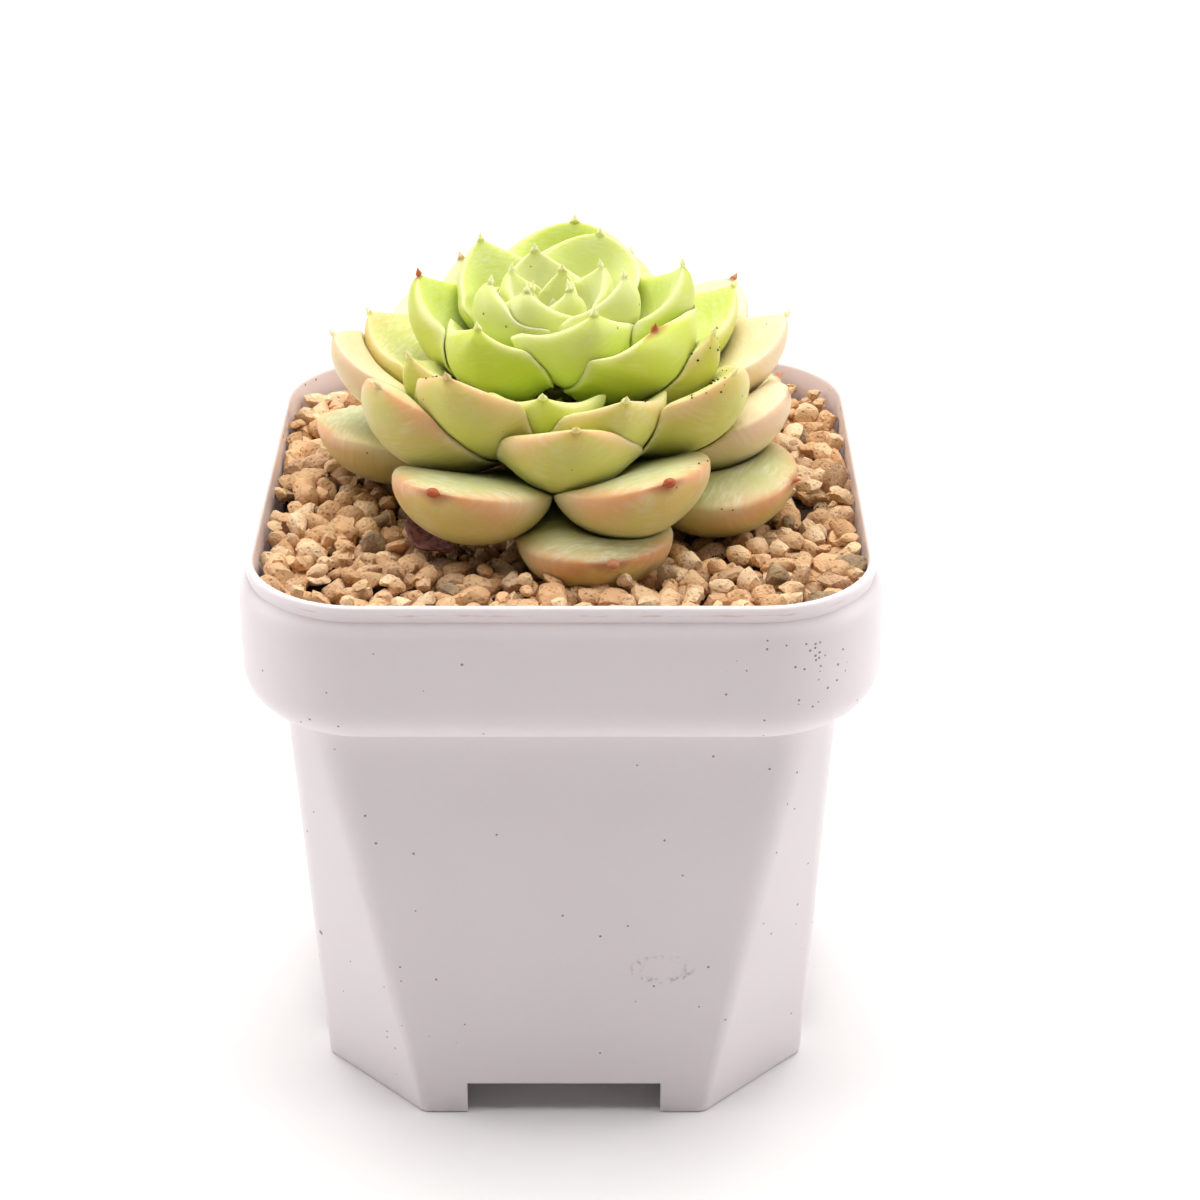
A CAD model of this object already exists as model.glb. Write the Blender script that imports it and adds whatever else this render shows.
"""The potted echeveria's looks: moulded white pot, baked clay granules, waxy leaves flushed at the tips."""

import math
import random

import bmesh
import bpy
import numpy as np
from mathutils import Matrix, Vector, noise
from mathutils.bvhtree import BVHTree


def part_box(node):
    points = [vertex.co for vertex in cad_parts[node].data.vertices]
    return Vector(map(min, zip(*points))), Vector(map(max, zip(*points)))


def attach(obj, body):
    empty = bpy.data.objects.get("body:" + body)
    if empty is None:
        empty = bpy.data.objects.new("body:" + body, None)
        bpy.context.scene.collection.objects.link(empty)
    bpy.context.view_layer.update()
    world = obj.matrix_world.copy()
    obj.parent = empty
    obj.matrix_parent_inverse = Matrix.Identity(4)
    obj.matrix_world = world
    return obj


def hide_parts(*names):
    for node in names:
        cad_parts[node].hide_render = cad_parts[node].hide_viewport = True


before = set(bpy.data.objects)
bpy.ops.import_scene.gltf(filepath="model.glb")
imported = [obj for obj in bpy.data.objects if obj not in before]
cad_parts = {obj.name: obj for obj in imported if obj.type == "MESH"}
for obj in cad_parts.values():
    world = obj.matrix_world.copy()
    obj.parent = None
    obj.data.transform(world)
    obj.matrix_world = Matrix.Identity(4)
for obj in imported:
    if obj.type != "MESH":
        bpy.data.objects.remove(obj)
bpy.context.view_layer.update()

MM = 0.001

# Pot, in the sizes of its mould
NECK_HEIGHT = 54.2 * MM
BASE_HALF = 28.9 * MM
NECK_HALF = 31.0 * MM
MOUTH_HALF = 34.0 * MM
MOUTH_CORNER = 12.5 * MM
BASE_CUT, NECK_CUT = 12.2 * MM, 4.5 * MM
BASE_FILLET, NECK_FILLET = 1.5 * MM, 6.0 * MM
WALL = 1.2 * MM
FLOOR_UNDERSIDE = 4.9 * MM
NOTCH_HALF, NOTCH_HEIGHT = 11.5 * MM, 4.45 * MM
DRAIN_RADIUS = 4.0 * MM
BEND_STEPS = 9  # points on each eighth of a turn of a corner

# Leaves, numbered from the oldest and lowest. Tables along the spiral give a leaf's number and its value.
AROUND, ALONG = 40, 48  # points round a leaf, and rings along it
MUCRO, MUCRO_RINGS = 1.1 * MM, 6  # the hard little horn at a leaf's end
HORN_RADIUS, BEAD_RADIUS = 0.62 * MM, 0.72 * MM
HORN_FLATNESS = 0.8
CROWN = 0.27  # share of a leaf's thickness above its margins
FOOT_LIFT = 0.4 * MM  # from the solid's foot to the middle of the skin's foot
LEAF_GAP = 0.22 * MM  # left between a pressed leaf and those inside it
THINNEST = 0.3 * MM  # what is left of a leaf where those inside press it hardest
DEEPEST = 9 * MM  # how far inside another leaf a point can start
EASING = 3  # how far the skin around a pressed place gives way with it
WIDTHS = [
    (0, 17.5), (6, 18.2), (9, 17.6), (13, 16.2), (20, 16.0), (28, 16.6), (35, 15.0), (38, 11.5),
    (41, 7.0), (45, 3.0),
]
THICKNESSES = [(0, 8.2), (8, 7.6), (12, 6.2), (18, 5.4), (24, 4.8), (32, 4.0), (38, 2.8), (45, 1.3)]
CURLS = [(0, 8), (6, 24), (12, 44), (20, 60), (30, 78), (38, 76), (45, 30)]
CUPS = [(0, 0.02), (8, 0.08), (16, 0.16), (30, 0.28), (45, 0.3)]
# 0 is a round end and 1 an end shaped like a tent
POINTED = [(0, 0.1), (8, 0.2), (12, 0.35), (18, 0.55), (24, 0.85), (30, 1.0), (45, 1.0)]
OWN_WIDTHS = {23: 0.62, 24: 0.64, 26: 0.8, 29: 1.2, 30: 1.1}  # shares of the width along the spiral
OWN_POINTED = {29: 0.1, 30: 0.25, 35: 0.3}
ROLLS = {3: 6, 7: 12, 8: 5, 29: 10}
LOPSIDED = {29: 3.4, 31: -1.5, 16: 1.2, 15: -1.2}  # mm that a leaf bulges to one side before its point
BLUSHES = [(0, 0.85), (8, 0.9), (12, 0.8), (18, 0.7), (22, 0.35), (28, 0.12), (34, 0.0), (45, 0.0)]
PINK_BACKS = {11: 0.8, 12: 1.0, 14: 1.0, 15: 0.8, 17: 0.9, 19: 1.0, 25: 0.6}  # leaves flushed all over
DARK_POINTS = {
    0: 0.8, 3: 0.9, 5: 1.0, 6: 0.8, 8: 1.0, 10: 0.3, 11: 0.5, 13: 0.3, 14: 0.9, 18: 0.4, 25: 0.5,
    28: 1.0, 29: 1.0,
}
BEADS = (0, 5, 8)  # leaves whose point is a blunt bead
FIRST_MIDDLE, FIRST_INNER = 12, 26  # where the outer leaves end, and where the inner ones start
YOUNG, YOUNGEST = 31, 38  # from the first of these to the second, leaves grow paler and yellower
HEART_HEIGHT = 4.6 * MM  # above the stem

# Granules
GRAIN_RADIUS = 1.75 * MM
GRAIN_SHAPES = 14
LAYERS = [(0.0, 2.35), (-1.1, 2.3), (-2.2, 2.4)]  # height against the bed's top, and spacing, in mm
BARE_SPOTS = [(17.0, -17.0, 2.7), (29.3, -4.8, 2.0), (-12.5, -15.5, 1.9)]  # soil shows: x, y, radius in mm
BED_LEVEL, BED_FALL = 70.3 * MM, 0.9 * MM  # top of the bed in front, and how much lower it is at the back
HOLLOW_DEPTH, HOLLOW_RADIUS = 2.4 * MM, 25 * MM  # of the bed under the rosette
BELLY_GAP = 0.25 * MM  # between a grain and the leaf above it
SOIL_DEPTH, SOIL_BOTTOM = 3.0 * MM, 62 * MM  # under the bed's top, and above the ground
CRUMB_PLACES = [  # x, y, reach in mm, and how many crumbs
    (17.6, -6.5, 1.1, 10), (15.4, -8.6, 0.8, 7), (7.5, -18.0, 1.4, 12), (19.5, 13.5, 0.9, 6),
    (12.2, -13.5, 0.8, 6),
]
CRUMBS_IN_BARE_SPOT = 26
TONES = [
    (232, 188, 144), (222, 176, 134), (240, 202, 160), (210, 162, 120), (244, 212, 174), (208, 168, 136),
]
DARK_TONE = (150, 130, 106)

# Edges sharper than these angles, in degrees, stay crisp
POT_CRISP, GRAIN_CRISP, CRUMB_CRISP = 28, 38, 60

# Marks on the pot
LIP_LINE = 0.95 * MM  # down from the pot's top to the line of dirt under its lip
SPLASH_PLACE = (28.2 * MM, -34.1 * MM, 62.3 * MM)  # a cluster of soil specks at the rim's right end
RING_PLACE, RING_RADIUS = (11.5 * MM, -29.5 * MM, 21.2 * MM), 1.7 * MM  # where something has rubbed

# Camera and light
CAMERA_PLACE = Vector((0.0043, -0.3093, 0.2139))
CAMERA_TILT = math.radians(62.67)
FOCAL_LENGTH = 87.16
WARM = (1.0, 0.985, 0.96)

stem_low, stem_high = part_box("stem")
AXIS = Vector(((stem_low.x + stem_high.x) / 2, (stem_low.y + stem_high.y) / 2, 0))
_, pot_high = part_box("pot")
POT_HEIGHT = pot_high.z
RIM_HALF = pot_high.x


# ---------------------------------------------------------------- wiring materials


class Wiring:
    """A node tree with short calls to add nodes and join them."""

    def __init__(self, tree):
        self.tree = tree

    def add(self, kind, inputs=(), **settings):
        """A node whose inputs, by name or number, are given values or joined to other nodes' outputs."""
        made = self.tree.nodes.new("ShaderNode" + kind)
        for name, value in settings.items():
            setattr(made, name, value)
        for key, value in dict(inputs).items():
            if isinstance(value, bpy.types.NodeSocket):
                self.tree.links.new(value, made.inputs[key])
            else:
                made.inputs[key].default_value = value
        return made

    def math(self, operation, first, second=0.0, clamp=False):
        return self.add("Math", {0: first, 1: second}, operation=operation, use_clamp=clamp).outputs[0]

    def step(self, value, low, high):
        """0 below low, 1 above high, and smooth between."""
        inputs = {"Value": value, "From Min": low, "From Max": high}
        return self.add("MapRange", inputs, interpolation_type="SMOOTHSTEP").outputs[0]

    def mix(self, share, first, second):
        made = self.add("Mix", {0: share, 6: first, 7: second}, data_type="RGBA")
        return made.outputs[2]

    def noise(self, place, scale, detail=3.0, roughness=0.5):
        inputs = {"Vector": place, "Scale": scale, "Detail": detail, "Roughness": roughness}
        return self.add("TexNoise", inputs).outputs[0]

    def stretched(self, place, scale):
        return self.add("Mapping", {"Vector": place, "Scale": scale}).outputs[0]


def shade(red, green, blue):
    """A colour from its 0-255 display values."""
    return tuple((level / 255) ** 2.2 for level in (red, green, blue)) + (1.0,)


def new_group(name, inputs, outputs):
    """An empty shader group with float, vector and colour sockets, and its wiring."""
    group = bpy.data.node_groups.new(name, "ShaderNodeTree")
    for sockets, direction in ((inputs, "INPUT"), (outputs, "OUTPUT")):
        for socket_name, kind in sockets.items():
            group.interface.new_socket(name=socket_name, in_out=direction, socket_type="NodeSocket" + kind)
    wires = Wiring(group)
    source = group.nodes.new("NodeGroupInput")
    sink = group.nodes.new("NodeGroupOutput")
    return group, wires, source.outputs, sink.inputs


def make_speck_group():
    """Tiny dark specks of soil, thick in some places and missing in others."""
    inputs = {"Place": "Vector", "Size": "Float", "Spacing": "Float", "Cover": "Float"}
    group, wires, given, out = new_group("soil_specks", inputs, {"Mask": "Float"})
    warp = wires.noise(given["Place"], 900.0, 2.0)
    cells = wires.add("TexVoronoi", {"Vector": given["Place"], "Scale": given["Spacing"], "Randomness": 1.0})
    ragged = wires.math("ADD", cells.outputs["Distance"], wires.math("MULTIPLY", warp, 0.12))
    dots = wires.math("LESS_THAN", ragged, given["Size"])
    luck = wires.add("SeparateColor", {"Color": cells.outputs["Color"]}).outputs[0]
    patches = wires.noise(given["Place"], 60.0, 2.0)
    patchy = wires.math("ADD", wires.step(patches, 0.4, 0.7), 0.15)
    chance = wires.math("MULTIPLY", patchy, given["Cover"])
    chosen = wires.math("LESS_THAN", luck, chance)
    wires.tree.links.new(wires.math("MULTIPLY", dots, chosen), out["Mask"])
    return group


def make_bloom_group():
    """The powdery wax on a leaf: cloudy, streaked along the leaf and rubbed off in places."""
    inputs = {"Place": "Vector", "Grid": "Vector", "Amount": "Float"}
    group, wires, given, out = new_group("wax_bloom", inputs, {"Mask": "Float", "Height": "Float"})
    streaks = wires.noise(wires.stretched(given["Grid"], (26.0, 3.0, 1.0)), 2.2, 5.0, 0.6)
    clouds = wires.noise(given["Place"], 220.0, 4.0)
    powder = wires.noise(given["Place"], 2600.0, 2.0)
    worn = wires.math("MULTIPLY", wires.step(streaks, 0.35, 0.7), wires.step(clouds, 0.3, 0.7))
    both = wires.math("ADD", wires.math("MULTIPLY", worn, 0.8), wires.math("MULTIPLY", powder, 0.25))
    wires.tree.links.new(wires.math("MULTIPLY", both, given["Amount"], clamp=True), out["Mask"])
    height = wires.math("ADD", wires.math("MULTIPLY", streaks, 0.7), wires.math("MULTIPLY", powder, 0.3))
    wires.tree.links.new(height, out["Height"])
    return group


def use_group(wires, group, inputs):
    made = wires.tree.nodes.new("ShaderNodeGroup")
    made.node_tree = group
    for name, value in inputs.items():
        if isinstance(value, bpy.types.NodeSocket):
            wires.tree.links.new(value, made.inputs[name])
        else:
            made.inputs[name].default_value = value
    return made.outputs


def new_material(name, **sockets):
    """A material with a Principled shader, its wiring and the object's own coordinates."""
    material = bpy.data.materials.new(name)
    material.use_nodes = True
    shader = material.node_tree.nodes["Principled BSDF"]
    for socket, value in sockets.items():
        shader.inputs[socket.replace("_", " ")].default_value = value
    wires = Wiring(material.node_tree)
    place = wires.add("TexCoord").outputs["Object"]
    return material, shader, wires, place


def connect(wires, shader, colour, roughness=None, height=None, depth=0.0001, strength=1.0):
    wires.tree.links.new(colour, shader.inputs["Base Color"])
    if roughness is not None:
        wires.tree.links.new(roughness, shader.inputs["Roughness"])
    if height is not None:
        bump = wires.add("Bump", {"Height": height, "Distance": depth, "Strength": strength})
        wires.tree.links.new(bump.outputs[0], shader.inputs["Normal"])


def leaf_skin(name, deep, flesh, pale, upper, blush, bloom):
    """Leaf skin, from its deep-coloured foot to its flushed tip, under powdery wax."""
    material, shader, wires, place = new_material(
        name, Subsurface_Weight=0.3, Subsurface_Scale=0.0022, Subsurface_Radius=(1.0, 1.0, 0.3),
        Specular_IOR_Level=0.35, Sheen_Weight=0.12, Sheen_Roughness=0.45)
    grid = wires.add("Attribute", attribute_name="leaf_grid")
    share, _, face = wires.add("SeparateColor", {"Color": grid.outputs["Color"]}).outputs[:3]
    tint = wires.add("Attribute", attribute_name="leaf_tint")
    flush, all_over, point = wires.add("SeparateColor", {"Color": tint.outputs["Color"]}).outputs[:3]
    clouds = wires.noise(place, 130.0, 3.0)
    drift = wires.math("MULTIPLY", wires.math("SUBTRACT", clouds, 0.5), 0.35)

    colour = wires.mix(wires.step(wires.math("ADD", share, drift), 0.12, 0.62), deep, flesh)
    above = wires.step(face, 0.42, 0.85)
    colour = wires.mix(wires.math("MULTIPLY", above, 0.7), colour, upper)
    off_ridge = wires.math("SUBTRACT", wires.math("MULTIPLY", face, 2.0), 1.0)
    ridge = wires.math("SUBTRACT", 1.0, wires.math("ABSOLUTE", off_ridge))
    reach = wires.math("ADD", share, drift)
    edge = wires.math("MULTIPLY", wires.step(ridge, 0.45, 0.95), wires.step(reach, 0.15, 0.6))
    colour = wires.mix(wires.math("MULTIPLY", edge, 0.6), colour, pale)
    on_ridge = wires.math("MULTIPLY", wires.step(ridge, -0.1, 0.9), wires.step(reach, 0.55, 1.0))
    at_end = wires.math("MULTIPLY", wires.step(reach, 0.84, 1.06), 0.6)
    flushed = wires.math("MULTIPLY", wires.math("MAXIMUM", on_ridge, at_end), flush)
    colour = wires.mix(flushed, colour, blush)
    wide = wires.math("MULTIPLY", wires.step(reach, 0.25, 0.95), all_over)
    colour = wires.mix(wires.math("MULTIPLY", wide, 0.75), colour, shade(246, 214, 184))
    young = wires.add("Attribute", attribute_name="leaf_youth").outputs["Fac"]
    colour = wires.mix(wires.math("MULTIPLY", young, 0.55), colour, shade(238, 238, 184))
    powdered = wires.math("MULTIPLY", wires.math("ADD", above, 0.7), bloom)
    wax = use_group(wires, wax_bloom, {"Place": place, "Grid": grid.outputs["Vector"], "Amount": powdered})
    colour = wires.mix(wax["Mask"], colour, shade(240, 241, 222))
    horn = wires.step(share, 0.985, 1.02)
    colour = wires.mix(wires.math("MULTIPLY", horn, 0.6), colour, pale)
    browned = wires.math("MULTIPLY", wires.step(share, 0.975, 1.01), point)
    colour = wires.mix(browned, colour, shade(168, 84, 50))
    specks = use_group(wires, soil_specks, {"Place": place, "Size": 0.16, "Spacing": 800.0, "Cover": 0.10})
    colour = wires.mix(wires.math("MULTIPLY", specks["Mask"], 0.75), colour, shade(92, 70, 40))
    roughness = wires.add("MapRange", {"Value": wax["Mask"], "To Min": 0.34, "To Max": 0.62}).outputs[0]
    connect(wires, shader, colour, roughness, wax["Height"], 0.00006, 0.6)
    return material


def moulded_white():
    """White moulded plastic with soil specks, a brown tide line under the lip and a rubbed ring."""
    material, shader, wires, place = new_material(
        "moulded_white", Specular_IOR_Level=0.5, Subsurface_Weight=0.45, Subsurface_Scale=0.002,
        Subsurface_Radius=(1.0, 0.85, 0.82))
    clouds = wires.noise(place, 45.0, 3.0)
    colour = wires.mix(wires.math("MULTIPLY", clouds, 0.35), shade(232, 224, 228), shade(224, 214, 219))
    split = wires.add("SeparateXYZ", {0: place}).outputs
    ragged = wires.noise(wires.stretched(place, (1.0, 1.0, 6.0)), 240.0, 4.0, 0.65)
    under_lip = wires.math("ABSOLUTE", wires.math("SUBTRACT", split[2], POT_HEIGHT - LIP_LINE))
    line = wires.math("SUBTRACT", 1.0, wires.step(under_lip, 0.02 * MM, 0.22 * MM))
    tide = wires.math("MULTIPLY", line, wires.step(ragged, 0.5, 0.62))
    colour = wires.mix(wires.math("MULTIPLY", tide, 0.4), colour, shade(168, 128, 98))
    fine = use_group(wires, soil_specks, {"Place": place, "Size": 0.2, "Spacing": 950.0, "Cover": 0.11})
    coarse = use_group(wires, soil_specks, {"Place": place, "Size": 0.2, "Spacing": 380.0, "Cover": 0.035})
    dirt = wires.math("MAXIMUM", fine["Mask"], coarse["Mask"])
    spot = wires.add("VectorMath", {0: place, 1: SPLASH_PLACE}, operation="DISTANCE").outputs["Value"]
    near = wires.math("SUBTRACT", 1.0, wires.step(spot, 1.2 * MM, 5.0 * MM))
    close = {"Place": place, "Size": 0.36, "Spacing": 1900.0, "Cover": wires.math("MULTIPLY", near, 1.8)}
    cluster = use_group(wires, soil_specks, close)
    dirt = wires.math("MAXIMUM", dirt, cluster["Mask"])
    colour = wires.mix(wires.math("MULTIPLY", dirt, 0.8), colour, shade(96, 84, 74))
    from_ring = wires.add("VectorMath", {0: place, 1: RING_PLACE}, operation="SUBTRACT").outputs[0]
    oval = wires.stretched(from_ring, (0.55, 0.3, 1.0))
    radius = wires.add("VectorMath", {0: oval}, operation="LENGTH").outputs["Value"]
    off_ring = wires.math("ABSOLUTE", wires.math("SUBTRACT", radius, RING_RADIUS))
    band = wires.math("SUBTRACT", 1.0, wires.step(off_ring, 0.0, 0.55 * MM))
    rubbed = wires.math("MULTIPLY", band, wires.step(wires.noise(place, 1300.0, 3.0), 0.5, 0.68))
    colour = wires.mix(wires.math("MULTIPLY", rubbed, 0.45), colour, shade(110, 104, 100))
    texture = wires.noise(place, 3200.0, 2.0)
    roughness = wires.add("MapRange", {"Value": clouds, "To Min": 0.32, "To Max": 0.46}).outputs[0]
    connect(wires, shader, colour, roughness, texture, 0.00002, 0.5)
    return material


def baked_clay():
    """Porous baked clay, each grain in its own tone."""
    material, shader, wires, place = new_material("baked_clay", Specular_IOR_Level=0.2)
    tone = wires.add("Attribute", attribute_name="grain_tone").outputs["Color"]
    clouds = wires.noise(place, 600.0, 4.0, 0.6)
    colour = wires.mix(wires.step(clouds, 0.3, 0.7), tone, shade(240, 204, 156))
    colour = wires.mix(0.62, colour, tone)
    pits = wires.add("TexVoronoi", {"Vector": place, "Scale": 1500.0}).outputs["Distance"]
    pit = wires.math("SUBTRACT", 1.0, wires.step(pits, 0.12, 0.4))
    colour = wires.mix(wires.math("MULTIPLY", pit, 0.4), colour, shade(164, 118, 78))
    grit = wires.noise(place, 2400.0, 4.0, 0.7)
    swell = wires.math("ADD", grit, wires.math("MULTIPLY", clouds, 1.2))
    height = wires.math("SUBTRACT", swell, wires.math("MULTIPLY", pit, 0.5))
    roughness = wires.add("MapRange", {"Value": grit, "To Min": 0.75, "To Max": 1.0}).outputs[0]
    connect(wires, shader, colour, roughness, height, 0.0003, 0.9)
    return material


def dark_soil():
    """Damp peat with lighter crumbs and fibres."""
    material, shader, wires, place = new_material("damp_soil", Specular_IOR_Level=0.3)
    crumbs = wires.noise(place, 1500.0, 5.0, 0.7)
    colour = wires.mix(wires.step(crumbs, 0.35, 0.7), shade(30, 22, 17), shade(84, 62, 44))
    roughness = wires.add("MapRange", {"Value": crumbs, "To Min": 0.7, "To Max": 1.0}).outputs[0]
    connect(wires, shader, colour, roughness, crumbs, 0.0004)
    return material


def corky_stem():
    material, shader, wires, place = new_material("corky_stem", Specular_IOR_Level=0.25)
    rings = wires.noise(wires.stretched(place, (1.0, 1.0, 7.0)), 300.0, 4.0)
    colour = wires.mix(wires.step(rings, 0.35, 0.65), shade(150, 150, 78), shade(124, 100, 60))
    roughness = wires.add("MapRange", {"Value": rings, "To Min": 0.6, "To Max": 0.85}).outputs[0]
    connect(wires, shader, colour, roughness, rings, 0.0002)
    return material


def withered_skin():
    """The papery mauve skin of the dried leaf."""
    material, shader, wires, place = new_material("withered_skin", Specular_IOR_Level=0.3)
    wrinkles = wires.noise(wires.stretched(place, (1.0, 1.0, 2.5)), 700.0, 5.0, 0.65)
    colour = wires.mix(wires.step(wrinkles, 0.35, 0.65), shade(96, 58, 62), shade(158, 108, 104))
    roughness = wires.add("MapRange", {"Value": wrinkles, "To Min": 0.5, "To Max": 0.8}).outputs[0]
    connect(wires, shader, colour, roughness, wrinkles, 0.0003)
    return material


def studio_white():
    material, shader, wires, place = new_material("studio_white", Specular_IOR_Level=0.0)
    clouds = wires.noise(place, 3.0, 2.0)
    colour = wires.mix(clouds, (0.90, 0.885, 0.88, 1), (0.92, 0.91, 0.905, 1))
    shader.inputs["Roughness"].default_value = 0.9
    connect(wires, shader, colour)
    return material


# ---------------------------------------------------------------- making pieces


def add_piece(name, builder, material, replaced=(), smooth_angle=180.0):
    """Turns a bmesh into a piece of the object that rides on its one body."""
    mesh = bpy.data.meshes.new(name)
    builder.to_mesh(mesh)
    builder.free()
    mesh.shade_smooth()
    if smooth_angle < 180:
        mesh.set_sharp_from_angle(angle=math.radians(smooth_angle))
    mesh.materials.append(material)
    piece = bpy.data.objects.new(name, mesh)
    bpy.context.scene.collection.objects.link(piece)
    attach(piece, "root")
    if replaced:
        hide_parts(*replaced)
    return piece


def outward(builder):
    builder.normal_update()
    bmesh.ops.recalc_face_normals(builder, faces=builder.faces)


def corner_outline(half, height, cut, fillet):
    """Points once round a square of this half width, with each corner cut back and its bends rounded."""
    fillet = min(fillet, 0.97 * cut / (2 - math.sqrt(2)))
    tangent = fillet * math.tan(math.pi / 8)
    points = []
    for quarter in range(4):
        turn = Matrix.Rotation(quarter * math.pi / 2, 3, "Z")
        centres = [(half - fillet, half - cut - tangent), (half - cut - tangent, half - fillet)]
        for bend, (x, y) in enumerate(centres):
            for step in range(BEND_STEPS + 1):
                angle = (bend + step / BEND_STEPS) * math.pi / 4
                out = Vector((math.cos(angle), math.sin(angle), 0)) * fillet
                points.append(turn @ (Vector((x, y, height)) + out))
    return points


def body_outline(height, inset=0.0):
    share = height / NECK_HEIGHT
    half = BASE_HALF + (NECK_HALF - BASE_HALF) * share
    cut = BASE_CUT + (NECK_CUT - BASE_CUT) * share
    fillet = BASE_FILLET + (NECK_FILLET - BASE_FILLET) * share
    return corner_outline(half - inset, height, cut - inset * (2 - math.sqrt(2)), fillet)


def rim_outline(half, height):
    radius = MOUTH_CORNER + half - MOUTH_HALF
    return corner_outline(half, height, radius * (2 - math.sqrt(2)), radius)


def arc(centre_half, centre_height, wide, tall, first, last, steps):
    """Rim outlines along an arc of the wall's section, between two angles in degrees."""
    for step in range(steps + 1):
        angle = math.radians(first + (last - first) * step / steps)
        yield rim_outline(centre_half + wide * math.cos(angle), centre_height + tall * math.sin(angle))


def draw_up(builder, outlines):
    """Draws a ring up through the outlines, one extrusion each, and closes both ends."""
    ring = bmesh.ops.create_circle(builder, segments=len(outlines[0]))["verts"]
    edges = builder.edges[:]
    bmesh.ops.contextual_create(builder, geom=edges)
    for vertex, point in zip(ring, outlines[0]):
        vertex.co = point
    for outline in outlines[1:]:
        grown = bmesh.ops.extrude_edge_only(builder, edges=edges)["geom"]
        fresh = {part for part in grown if isinstance(part, bmesh.types.BMVert)}
        risen = []
        for vertex in ring:
            partners = (edge.other_vert(vertex) for edge in vertex.link_edges)
            risen.append(next(partner for partner in partners if partner in fresh))
        edges = [part for part in grown if isinstance(part, bmesh.types.BMEdge)]
        edges = [edge for edge in edges if fresh.issuperset(edge.verts)]
        for vertex, point in zip(risen, outline):
            vertex.co = point
        ring = risen
    bmesh.ops.contextual_create(builder, geom=edges)


def take_away(piece, cutters):
    """Cuts each cutter's shape out of the piece for good, and removes the cutters."""
    for cutter in cutters:
        mesh = bpy.data.meshes.new("cutter")
        cutter.to_mesh(mesh)
        cutter.free()
        tool = bpy.data.objects.new("cutter", mesh)
        bpy.context.scene.collection.objects.link(tool)
        cut = piece.modifiers.new("cut", "BOOLEAN")
        cut.operation, cut.solver, cut.object = "DIFFERENCE", "EXACT", tool
        bpy.context.view_layer.update()
        graph = bpy.context.evaluated_depsgraph_get()
        result = bpy.data.meshes.new_from_object(piece.evaluated_get(graph))
        piece.modifiers.clear()
        piece.data = result
        bpy.data.objects.remove(tool)
    piece.data.name = piece.name


def make_pot(material):
    """The pot's wall, drawn up inside and down outside, then cut by its foot notches and drain hole."""
    floor_top = FLOOR_UNDERSIDE + WALL
    ledge = NECK_HEIGHT + 1.5 * MM
    outlines = [body_outline(floor_top, WALL + 1.2 * MM), body_outline(floor_top + MM, WALL)]
    outlines += [body_outline(height, WALL) for height in (20 * MM, 38 * MM, ledge - MM)]
    outlines += arc(31.4 * MM, ledge + 3.4 * MM, 2.3 * MM, 3.4 * MM, -80, 0, 6)
    outlines += [rim_outline(MOUTH_HALF - 0.1 * MM, 66 * MM)]
    # The thin raised lip, with the small step below it, and the shoulder
    outlines += arc(MOUTH_HALF + 0.45 * MM, POT_HEIGHT - 0.45 * MM, 0.45 * MM, 0.45 * MM, 180, 10, 8)
    outlines += [rim_outline(MOUTH_HALF + 0.93 * MM, POT_HEIGHT - 0.75 * MM)]
    outlines += arc(RIM_HALF - 3 * MM, 66.6 * MM, 3 * MM, 3.3 * MM, 52, 0, 9)
    # The rim band's rounded lower edge, which meets the neck in a crisp corner
    outlines += arc(32.2 * MM, NECK_HEIGHT + 4.7 * MM, 3.6 * MM, 4.7 * MM, 0, -90, 14)
    heights = (NECK_HEIGHT, 45 * MM, 34 * MM, 22 * MM, 10 * MM, 0.5 * MM)
    outlines += [body_outline(height) for height in heights]
    outlines += [body_outline(0.12 * MM, 0.1 * MM), body_outline(0.0, 0.4 * MM)]
    outlines += [body_outline(0.0, WALL), body_outline(FLOOR_UNDERSIDE, WALL)]
    builder = bmesh.new()
    draw_up(builder, outlines)
    outward(builder)
    pot = add_piece("pot_shell", builder, material, ["pot"])
    cutters = []
    for turn in (0.0, math.pi / 2):
        cutter = bmesh.new()
        size = Matrix.Diagonal((2 * NOTCH_HALF, 4 * BASE_HALF, 2 * NOTCH_HEIGHT, 1))
        bmesh.ops.create_cube(cutter, size=1, matrix=Matrix.Rotation(turn, 4, "Z") @ size)
        cutters.append(cutter)
    cutter = bmesh.new()
    bmesh.ops.create_cone(cutter, cap_ends=True, segments=48, radius1=DRAIN_RADIUS, radius2=DRAIN_RADIUS,
                          depth=4 * WALL, matrix=Matrix.Translation((0, 0, FLOOR_UNDERSIDE + WALL / 2)))
    cutters.append(cutter)
    take_away(pot, cutters)
    pot.data.shade_smooth()
    pot.data.set_sharp_from_angle(angle=math.radians(POT_CRISP))


# ---------------------------------------------------------------- leaves


def along_spiral(stops, number):
    """A leaf's value from one of the tables along the spiral."""
    return float(np.interp(number, [stop[0] for stop in stops], [stop[1] for stop in stops]))


def foot_and_point(node):
    """The two ends of a leaf's solid, where the most faces meet. The foot is the lower one."""
    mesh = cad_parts[node].data
    corners = np.array([tuple(mesh.vertices[loop.vertex_index].co) for loop in mesh.loops])
    places, faces = np.unique(np.round(corners / (0.001 * MM)), axis=0, return_counts=True)
    ends = [Vector(place * 0.001 * MM) for place in places[np.argsort(-faces, kind="stable")[:2]]]
    return sorted(ends, key=lambda end: end.z)


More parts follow.
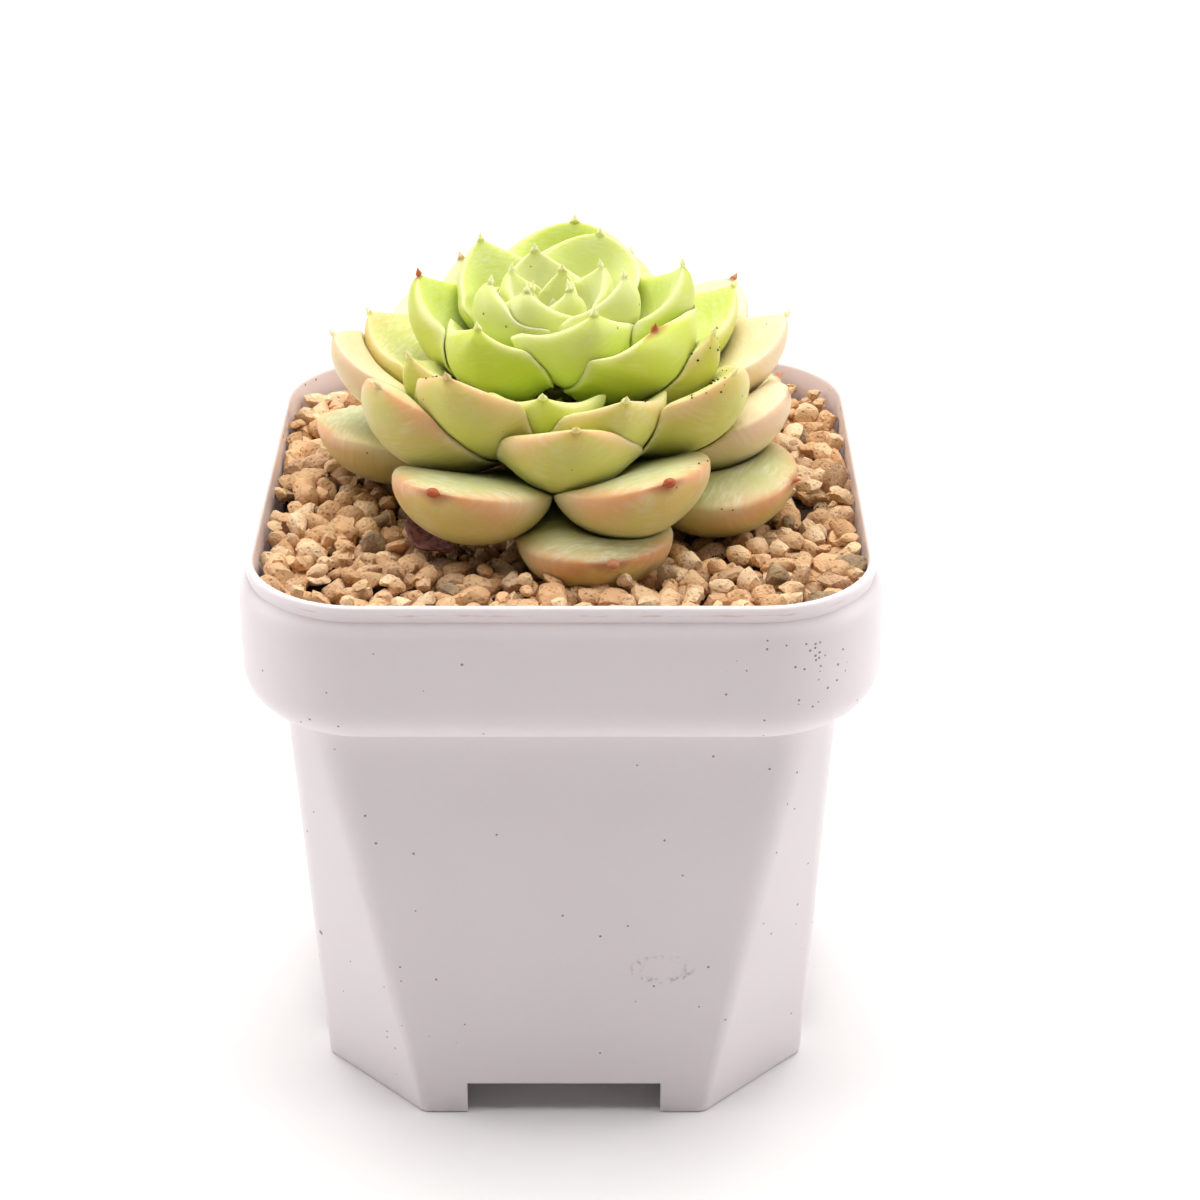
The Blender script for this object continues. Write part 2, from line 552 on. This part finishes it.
def leaf_profile(share, pointed):
    """(width, thickness, keel) at this share of the leaf's length, the first two against its widest place."""
    widest = 0.66 - 0.08 * pointed
    if share < widest:
        rise = math.sin(math.pi / 2 * share / widest)
        return 0.17 + 0.83 * rise**1.7, 0.16 + 0.84 * rise**1.5, 2.0
    fall = (share - widest) / (1 - widest)
    width = (1 - fall ** (2.4 - 1.0 * pointed)) ** (0.54 + 0.3 * pointed)
    return width, (1 - fall**2.2) ** 0.66, 2.0 - (0.4 + 0.4 * pointed) * fall


class Leaf:
    """One leaf's sizes, laid between the two ends of its solid."""

    def __init__(self, number):
        self.number = number
        self.foot, tip = foot_and_point(f"leaf_{number + 1:02d}")
        self.azimuth = math.atan2(tip.y - AXIS.y, tip.x - AXIS.x)
        outward_way = Vector((math.cos(self.azimuth), math.sin(self.azimuth), 0))
        away = (self.foot - AXIS).xy.length
        self.foot = AXIS + outward_way * away + Vector((0, 0, self.foot.z + FOOT_LIFT))
        self.width = along_spiral(WIDTHS, number) * OWN_WIDTHS.get(number, 1.0) * MM
        self.thickness = along_spiral(THICKNESSES, number) * MM
        self.cup = along_spiral(CUPS, number)
        self.pointed = OWN_POINTED.get(number, along_spiral(POINTED, number))
        self.roll = math.radians(ROLLS.get(number, 0))
        curl = math.radians(along_spiral(CURLS, number))
        out, up = (tip - self.foot).xy.length, tip.z - self.foot.z
        middle_tilt = math.atan2(up, out)
        self.base_tilt, self.tip_tilt = middle_tilt - curl / 2, middle_tilt + curl / 2
        self.length = math.hypot(out, up) * (curl / 2) / math.sin(curl / 2)
        self.body = (self.length - MUCRO) / self.length
        self.place = Matrix.Translation(self.foot) @ Matrix.Rotation(self.azimuth, 4, "Z")

    def middle_line(self, share):
        """(distance out, height, tilt) of the middle line."""
        curl = self.tip_tilt - self.base_tilt
        tilt = self.base_tilt + curl * share
        bend = self.length / curl
        out = bend * (math.sin(tilt) - math.sin(self.base_tilt))
        return out, bend * (math.cos(self.base_tilt) - math.cos(tilt)), tilt

    def skin_point(self, share, angle):
        """A point of the skin at this share of the leaf's length and this angle around it."""
        out, up, tilt = self.middle_line(share * self.body)
        width, thickness, keel = leaf_profile(share, self.pointed)
        half = math.hypot(0.5 * self.width * width, HORN_RADIUS * share**12)
        side = math.cos(angle)
        if math.sin(angle) >= 0:
            height = CROWN * self.thickness * thickness * math.sqrt(1 - side * side)
        else:
            height = (CROWN - 1) * self.thickness * thickness * math.sqrt(max(0.0, 1 - abs(side) ** keel))
        cup = self.cup * min(1.0, 3.2 * (1 - share))
        height += cup * half * side * side * 2 + half * side * math.tan(self.roll) * share
        bulge = LOPSIDED.get(self.number, 0) * MM * math.sin(math.pi * max(0.0, share - 0.3) / 0.7)
        return Vector((out - height * math.sin(tilt), half * side + bulge, up + height * math.cos(tilt)))

    def horn_point(self, rise, angle):
        """A point of the hard little horn at the leaf's end. Rise is 0 at its foot and 1 at its point."""
        out, up, tilt = self.middle_line(self.body + (1 - self.body) * rise)
        if self.number in BEADS:
            radius = BEAD_RADIUS * math.sqrt(max(0.0, 1 - rise**3))
        else:
            radius = HORN_RADIUS * (1 - rise) ** 1.25
        height = radius * HORN_FLATNESS * math.sin(angle)
        return Vector((out - height * math.sin(tilt), radius * math.cos(angle), up + height * math.cos(tilt)))


def grown_leaf(leaf):
    """A ball drawn out along the leaf, and each point's ring, spoke, share of the length, cosine and sine."""
    builder = bmesh.new()
    bmesh.ops.create_uvsphere(builder, u_segments=AROUND, v_segments=ALONG, radius=1)
    grid = {}
    body_rings = ALONG - MUCRO_RINGS
    for vertex in builder.verts:
        down = math.acos(max(-1.0, min(1.0, -vertex.co.z))) / math.pi
        angle = math.atan2(vertex.co.x, vertex.co.y)
        ring = round(down * ALONG)
        if ring == 0:
            share, vertex.co = 0.0, Vector((0, 0, 0))
        elif ring <= body_rings:
            share = 0.9985 * (1 - (1 - (ring - 1) / (body_rings - 1)) ** 1.7)
            vertex.co = leaf.skin_point(share, angle)
        else:
            rise = (ring - body_rings) / MUCRO_RINGS
            share = 1.0 + 0.1 * rise
            vertex.co = leaf.horn_point(rise, angle)
        spoke = round(angle / (2 * math.pi) * AROUND) % AROUND
        grid[vertex.index] = (ring, spoke, share, math.cos(angle), math.sin(angle))
    return builder, grid


def room_needed(point, away, inner_leaves):
    """How far a point has to go along this direction to lie clear of the leaves inside it."""
    distance = 0.0
    for _ in range(6):
        start = point + away * (distance - LEAF_GAP)
        hit, normal, _, far = inner_leaves.ray_cast(start, away, DEEPEST)
        if hit is None or (normal.dot(away) < 0 and far > LEAF_GAP):
            break
        distance += max(far, 0.02 * MM) + (0.0 if normal.dot(away) > 0 else LEAF_GAP)
    return distance


def press(builder, grid, leaf, inner_leaves):
    """Moves the skin clear of the leaves inside it, and eases the skin around each place that had to move."""
    needed = np.zeros((ALONG + 1, AROUND))
    aways = {}
    turn = leaf.place.to_3x3()
    for vertex in builder.verts:
        ring, spoke, share, _, sine = grid[vertex.index]
        tilt = leaf.middle_line(min(1.0, share))[2]
        away = Vector((math.sin(tilt), 0, -math.cos(tilt)))
        aways[ring] = away
        move = room_needed(leaf.place @ vertex.co, turn @ away, inner_leaves)
        if move > 0 and sine < -0.01:
            move += THINNEST
        if ring in (0, ALONG):
            needed[ring, :] = move
        else:
            needed[ring, spoke] = move
    eased = needed.copy()
    for _ in range(EASING):
        rings = np.concatenate([eased[:1], eased, eased[-1:]])
        around = (np.roll(eased, 1, 1) + np.roll(eased, -1, 1) + rings[:-2] + rings[2:]) / 4
        eased = np.maximum(needed, around)
    for vertex in builder.verts:
        ring, spoke = grid[vertex.index][:2]
        move = eased[ring].max() if ring in (0, ALONG) else eased[ring, spoke]
        vertex.co += aways[ring] * move


def colour_leaf(builder, grid, leaf):
    """Keeps, at each point of the skin, where it is on the leaf and how flushed the leaf is."""
    grid_layer = builder.verts.layers.float_color.new("leaf_grid")
    tint_layer = builder.verts.layers.float_color.new("leaf_tint")
    number = leaf.number
    young_layer = builder.verts.layers.float.new("leaf_youth")
    young = min(1.0, max(0.0, (number - YOUNG) / (YOUNGEST - YOUNG)))
    tint = (along_spiral(BLUSHES, number), PINK_BACKS.get(number, 0.0), DARK_POINTS.get(number, 0.0), 1.0)
    for vertex in builder.verts:
        _, _, share, cosine, sine = grid[vertex.index]
        vertex[grid_layer] = (share, 0.5 + 0.5 * cosine, 0.5 + 0.5 * sine, 1.0)
        vertex[tint_layer] = tint
        vertex[young_layer] = young


def make_leaves(skins):
    """The rosette, from the middle outwards. Returns the points and the faces of all its skins."""
    points, faces = [], []
    numbers = sorted((int(node[5:]) - 1 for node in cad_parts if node.startswith("leaf_")), reverse=True)
    for number in numbers:
        leaf = Leaf(number)
        builder, grid = grown_leaf(leaf)
        if faces:
            press(builder, grid, leaf, BVHTree.FromPolygons(points, faces))
        colour_leaf(builder, grid, leaf)
        bmesh.ops.transform(builder, matrix=leaf.place, verts=builder.verts)
        outward(builder)
        first = len(points)
        points += [vertex.co.copy() for vertex in builder.verts]
        faces += [[first + vertex.index for vertex in face.verts] for face in builder.faces]
        slot = "leaf_inner"
        if number < FIRST_INNER:
            slot = "leaf_outer" if number < FIRST_MIDDLE else "leaf_middle"
        add_piece(f"leaf_skin_{number + 1:02d}", builder, skins[slot], [f"leaf_{number + 1:02d}"])
    return points, faces


def make_heart(material):
    """Three tiny leaves, folded together over the stem's end, close the heart of the rosette."""
    heart = bmesh.new()
    low, high = stem_high.z + 0.4 * MM, stem_high.z + HEART_HEIGHT
    for turn in range(3):
        small = bmesh.new()
        bmesh.ops.create_uvsphere(small, u_segments=20, v_segments=20, radius=1)
        layers = [small.verts.layers.float_color.new(name) for name in ("leaf_grid", "leaf_tint")]
        young_layer = small.verts.layers.float.new("leaf_youth")
        for vertex in small.verts:
            x, y, z = vertex.co
            share = (z + 1) / 2
            narrow = 1 - 0.55 * share**2
            vertex.co = Vector((0.62 * x * narrow * MM, 1.15 * y * narrow * MM, low + (high - low) * share))
            vertex.co.x += (0.75 - 0.7 * share) * MM
            vertex[layers[0]] = (share, 0.5, 0.5 - 0.5 * x, 1.0)
            vertex[layers[1]] = (0.0, 0.0, 0.0, 1.0)
            vertex[young_layer] = 1.0
        place = Matrix.Translation(AXIS) @ Matrix.Rotation(turn * math.tau / 3, 4, "Z")
        bmesh.ops.transform(small, matrix=place, verts=small.verts)
        mesh = bpy.data.meshes.new("small_leaf")
        small.to_mesh(mesh)
        small.free()
        heart.from_mesh(mesh)
        bpy.data.meshes.remove(mesh)
    outward(heart)
    add_piece("heart_leaves", heart, material)


# ---------------------------------------------------------------- granules, soil and the dried leaf


def grain_shape(chance):
    """An angular lump: a ball with flats cut across it, then roughened."""
    builder = bmesh.new()
    bmesh.ops.create_icosphere(builder, subdivisions=2, radius=1)
    flats = []
    for _ in range(8):
        normal = Vector([chance.gauss(0, 1) for _ in range(3)]).normalized()
        flats.append((normal, chance.uniform(0.5, 0.8)))
    lean = [chance.uniform(0.85, 1.4), chance.uniform(0.6, 1.0), chance.uniform(0.55, 0.85)]
    seed = Vector([chance.uniform(-9, 9) for _ in range(3)])
    for vertex in builder.verts:
        for normal, depth in flats:
            over = vertex.co.dot(normal) - depth
            if over > 0:
                vertex.co -= normal * over
        vertex.co *= 1 + 0.08 * noise.noise(vertex.co * 1.7 + seed)
        vertex.co = Vector([value * stretch for value, stretch in zip(vertex.co, lean)])
    mesh = bpy.data.meshes.new("grain_shape")
    builder.to_mesh(mesh)
    builder.free()
    return mesh


def bed_height(x, y):
    """The bed's top: level with the lip in front, lower at the back, hollow under the rosette."""
    back = min(1.0, max(0.0, (y / MOUTH_HALF + 0.75) / 1.5))
    away = math.hypot(x - AXIS.x, y - AXIS.y)
    return BED_LEVEL - BED_FALL * back - HOLLOW_DEPTH * max(0.0, 1 - (away / HOLLOW_RADIUS) ** 4)


def inside_mouth(x, y, margin):
    """Whether this place is inside the mouth's rounded square, by at least the margin."""
    half = MOUTH_HALF - margin
    radius = MOUTH_CORNER - margin
    over = Vector((max(0.0, abs(x) - (half - radius)), max(0.0, abs(y) - (half - radius))))
    return over.length <= radius


def scatter(chance, spacing):
    """Places at least this far apart over the mouth, in a random order."""
    cell = spacing / math.sqrt(2)
    taken, places = {}, []
    for _ in range(int(14 * (2 * MOUTH_HALF / spacing) ** 2)):
        x, y = (chance.uniform(-MOUTH_HALF, MOUTH_HALF) for _ in range(2))
        if not inside_mouth(x, y, 1.0 * MM):
            continue
        column, row = int(x // cell), int(y // cell)
        near = [taken.get((column + i, row + j)) for i in range(-2, 3) for j in range(-2, 3)]
        if all(other is None or math.hypot(other[0] - x, other[1] - y) >= spacing for other in near):
            taken[(column, row)] = (x, y)
            places.append((x, y))
    return places


def grain_colour(chance):
    """One of the clay's tones, a little lighter or darker, and now and then a dark one."""
    red, green, blue = chance.choice(TONES)
    if chance.random() < 0.05:
        red, green, blue = DARK_TONE
    lift = chance.uniform(0.93, 1.07)
    return shade(min(255, red * lift), min(255, green * lift), min(255, blue * lift))


def make_granules(material, bellies):
    """Three layers of grains, kept under the bellies of the leaves and off the bare spots."""
    chance = random.Random(11)
    shapes = [grain_shape(chance) for _ in range(GRAIN_SHAPES)]
    for layer, (drop, spacing) in enumerate(LAYERS):
        builder = bmesh.new()
        tone = builder.verts.layers.float_color.new("grain_tone")
        for x, y in scatter(chance, spacing * MM):
            size = GRAIN_RADIUS * chance.uniform(0.6, 1.25)
            if chance.random() < 0.06:
                size *= 1.3
            if any(math.hypot(x - sx * MM, y - sy * MM) < reach * MM for sx, sy, reach in BARE_SPOTS):
                continue
            if not inside_mouth(x, y, size * 0.6 + 0.2 * MM):
                continue
            top = bed_height(x, y) + (drop + chance.uniform(-0.5, 0.5)) * MM
            belly, _, _, _ = bellies.ray_cast(Vector((x, y, 60 * MM)), Vector((0, 0, 1)), 20 * MM)
            if belly is not None:
                top = min(top, belly.z - BELLY_GAP)
            turn = Matrix.Rotation(chance.uniform(0, 6.3), 4, "Z")
            turn = turn @ Matrix.Rotation(chance.uniform(-0.6, 0.6), 4, "X")
            if chance.random() < 0.25:
                turn = turn @ Matrix.Rotation(chance.uniform(0, 6.3), 4, "Y")
            place = Matrix.Translation((x, y, top - size * 0.62)) @ turn @ Matrix.Scale(size, 4)
            before = len(builder.verts)
            builder.from_mesh(chance.choice(shapes))
            builder.verts.ensure_lookup_table()
            fresh = builder.verts[before:]
            bmesh.ops.transform(builder, matrix=place, verts=fresh)
            colour = grain_colour(chance)
            for vertex in fresh:
                vertex[tone] = colour
        outward(builder)
        name = f"granules_{('top', 'middle', 'low')[layer]}"
        add_piece(name, builder, material, ["top_dressing"], GRAIN_CRISP)


def make_soil_between(material):
    """The dark soil under the granules, seen where they leave it bare."""
    builder = bmesh.new()
    bmesh.ops.create_grid(builder, x_segments=70, y_segments=70, size=MOUTH_HALF - 0.3 * MM)
    outside = []
    for vertex in builder.verts:
        x, y = vertex.co.x, vertex.co.y
        vertex.co.z = bed_height(x, y) - SOIL_DEPTH + 0.7 * MM * noise.noise(Vector((x, y, 0)) * 900)
        if not inside_mouth(x, y, 0.3 * MM):
            outside.append(vertex)
    bmesh.ops.delete(builder, geom=outside, context="VERTS")
    grown = bmesh.ops.extrude_face_region(builder, geom=builder.faces[:])["geom"]
    for vertex in [part for part in grown if isinstance(part, bmesh.types.BMVert)]:
        vertex.co.z = SOIL_BOTTOM
    outward(builder)
    add_piece("soil_between", builder, material, ["top_dressing"])


def make_crumbs(material, surface):
    """Clumps of soil crumbs lodged between the leaves and in the bare spots."""
    chance = random.Random(5)
    clumps = CRUMB_PLACES + [(x, y, reach * 0.9, CRUMBS_IN_BARE_SPOT) for x, y, reach in BARE_SPOTS]
    builder = bmesh.new()
    shape = grain_shape(chance)
    for x, y, reach, count in clumps:
        for _ in range(count):
            cx, cy = (x + chance.gauss(0, reach / 2)) * MM, (y + chance.gauss(0, reach / 2)) * MM
            hit, _, _, _ = surface.ray_cast(Vector((cx, cy, 120 * MM)), Vector((0, 0, -1)), 60 * MM)
            top = hit.z if hit is not None else bed_height(cx, cy) - 1.6 * MM
            if not inside_mouth(cx, cy, 1.5 * MM):
                continue
            size = chance.uniform(0.07, 0.2) * MM
            before = len(builder.verts)
            builder.from_mesh(shape)
            builder.verts.ensure_lookup_table()
            angle = chance.uniform(0, 6.3)
            turn = Matrix.Rotation(angle, 4, Vector((chance.gauss(0, 1), chance.gauss(0, 1), 1)))
            place = Matrix.Translation((cx, cy, top + size * 0.4)) @ turn @ Matrix.Scale(size, 4)
            bmesh.ops.transform(builder, matrix=place, verts=builder.verts[before:])
    outward(builder)
    add_piece("soil_crumbs", builder, material, (), CRUMB_CRISP)


def make_dried_leaf(material):
    """A shrivelled strip of leaf, hollow along its middle, with both ends curling up."""
    low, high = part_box("dried_leaf")
    middle = (low + high) / 2
    builder = bmesh.new()
    lying = Matrix.Rotation(math.pi / 2, 4, "Y")
    bmesh.ops.create_uvsphere(builder, u_segments=32, v_segments=40, radius=1, matrix=lying)
    for vertex in builder.verts:
        along, side, up = vertex.co
        wrinkle = 0.18 * math.sin(5 * along + 3 * side) + 0.3 * noise.noise(Vector((along * 4, side * 6, 3)))
        curl = 1.5 * along * along + 0.9 * side * side + wrinkle - 0.9
        edge = 1 + 0.18 * noise.noise(Vector((along * 5, 7, 0)))
        vertex.co.x = along * 5.0 * MM
        vertex.co.y = side * 2.1 * MM * (1 - 0.25 * along) * edge + 0.9 * MM * along * along
        vertex.co.z = up * 0.42 * MM + curl * MM
    azimuth = math.atan2(middle.y - AXIS.y, middle.x - AXIS.x)
    turn = Matrix.Rotation(azimuth + math.radians(62), 4, "Z")
    bmesh.ops.transform(builder, matrix=Matrix.Translation(middle) @ turn, verts=builder.verts)
    outward(builder)
    add_piece("dried_leaf_skin", builder, material, ["dried_leaf"])


# ---------------------------------------------------------------- studio


def make_floor(material):
    """A wide white floor under the pot, which is the studio's and not the object's."""
    builder = bmesh.new()
    bmesh.ops.create_grid(builder, x_segments=2, y_segments=2, size=3.0)
    mesh = bpy.data.meshes.new("studio_floor")
    builder.to_mesh(mesh)
    builder.free()
    mesh.materials.append(material)
    floor = bpy.data.objects.new("studio_floor", mesh)
    bpy.context.scene.collection.objects.link(floor)


def add_light(name, place, width, power, colour=(1, 1, 1)):
    """A square soft light at this place, turned to the middle of the pot."""
    light = bpy.data.lights.new(name, "AREA")
    light.size, light.energy, light.color = width, power, colour
    lamp = bpy.data.objects.new(name, light)
    lamp.location = place
    ahead = Vector((0, 0, POT_HEIGHT / 2)) - Vector(place)
    lamp.rotation_euler = ahead.to_track_quat("-Z", "Y").to_euler()
    lamp.visible_camera = False
    bpy.context.scene.collection.objects.link(lamp)


def light_studio():
    """A dim room with a white backdrop, a big soft light overhead, and weaker ones behind and beside."""
    world = bpy.data.worlds.new("studio")
    world.use_nodes = True
    bpy.context.scene.world = world
    nodes, links = world.node_tree.nodes, world.node_tree.links
    room = nodes["Background"]
    room.inputs["Color"].default_value = (1.0, 0.95, 0.955, 1)
    room.inputs["Strength"].default_value = 0.1
    backdrop = nodes.new("ShaderNodeBackground")
    backdrop.inputs["Color"].default_value = (1, 1, 1, 1)
    seen = nodes.new("ShaderNodeLightPath")
    blend = nodes.new("ShaderNodeMixShader")
    links.new(seen.outputs["Is Camera Ray"], blend.inputs[0])
    links.new(room.outputs[0], blend.inputs[1])
    links.new(backdrop.outputs[0], blend.inputs[2])
    links.new(blend.outputs[0], nodes["World Output"].inputs["Surface"])
    add_light("overhead", (0, 0.12, 0.78), 0.85, 10.0, WARM)
    add_light("behind", (0.0, 0.85, 0.40), 0.9, 1.3, WARM)
    add_light("left_side", (-0.75, 0.05, 0.34), 0.55, 2.4)
    add_light("right_side", (0.75, 0.05, 0.34), 0.55, 2.7)


def place_camera():
    camera = bpy.data.cameras.new("camera")
    camera.lens = FOCAL_LENGTH
    camera.sensor_width = 36
    camera.clip_start, camera.clip_end = 0.01, 20
    viewer = bpy.data.objects.new("camera", camera)
    viewer.location = CAMERA_PLACE
    viewer.rotation_euler = (CAMERA_TILT, 0, 0)
    bpy.context.scene.collection.objects.link(viewer)
    bpy.context.scene.camera = viewer
    bpy.context.scene.view_settings.view_transform = "Standard"


def dress(node, material):
    """Gives a CAD node that stays its finish."""
    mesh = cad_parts[node].data
    mesh.materials.clear()
    mesh.materials.append(material)


soil_specks = make_speck_group()
wax_bloom = make_bloom_group()
soil = dark_soil()
skins = {
    "leaf_outer": leaf_skin(
        "leaf_skin_outer", deep=shade(166, 172, 52), flesh=shade(206, 198, 106), pale=shade(238, 228, 186),
        upper=shade(190, 200, 140), blush=shade(226, 150, 92), bloom=0.42),
    "leaf_middle": leaf_skin(
        "leaf_skin_middle", deep=shade(160, 174, 22), flesh=shade(206, 206, 92), pale=shade(240, 232, 180),
        upper=shade(202, 208, 116), blush=shade(236, 176, 122), bloom=0.34),
    "leaf_inner": leaf_skin(
        "leaf_skin_inner", deep=shade(152, 178, 8), flesh=shade(206, 218, 80), pale=shade(242, 240, 188),
        upper=shade(202, 220, 84), blush=shade(238, 206, 150), bloom=0.30),
}
make_pot(moulded_white())
leaf_points, leaf_faces = make_leaves(skins)
leaf_tree = BVHTree.FromPolygons(leaf_points, leaf_faces)
make_heart(skins["leaf_inner"])
make_dried_leaf(withered_skin())
make_granules(baked_clay(), leaf_tree)
make_soil_between(soil)
make_crumbs(soil, leaf_tree)
dress("potting_soil", soil)
dress("stem", corky_stem())
make_floor(studio_white())
light_studio()
place_camera()
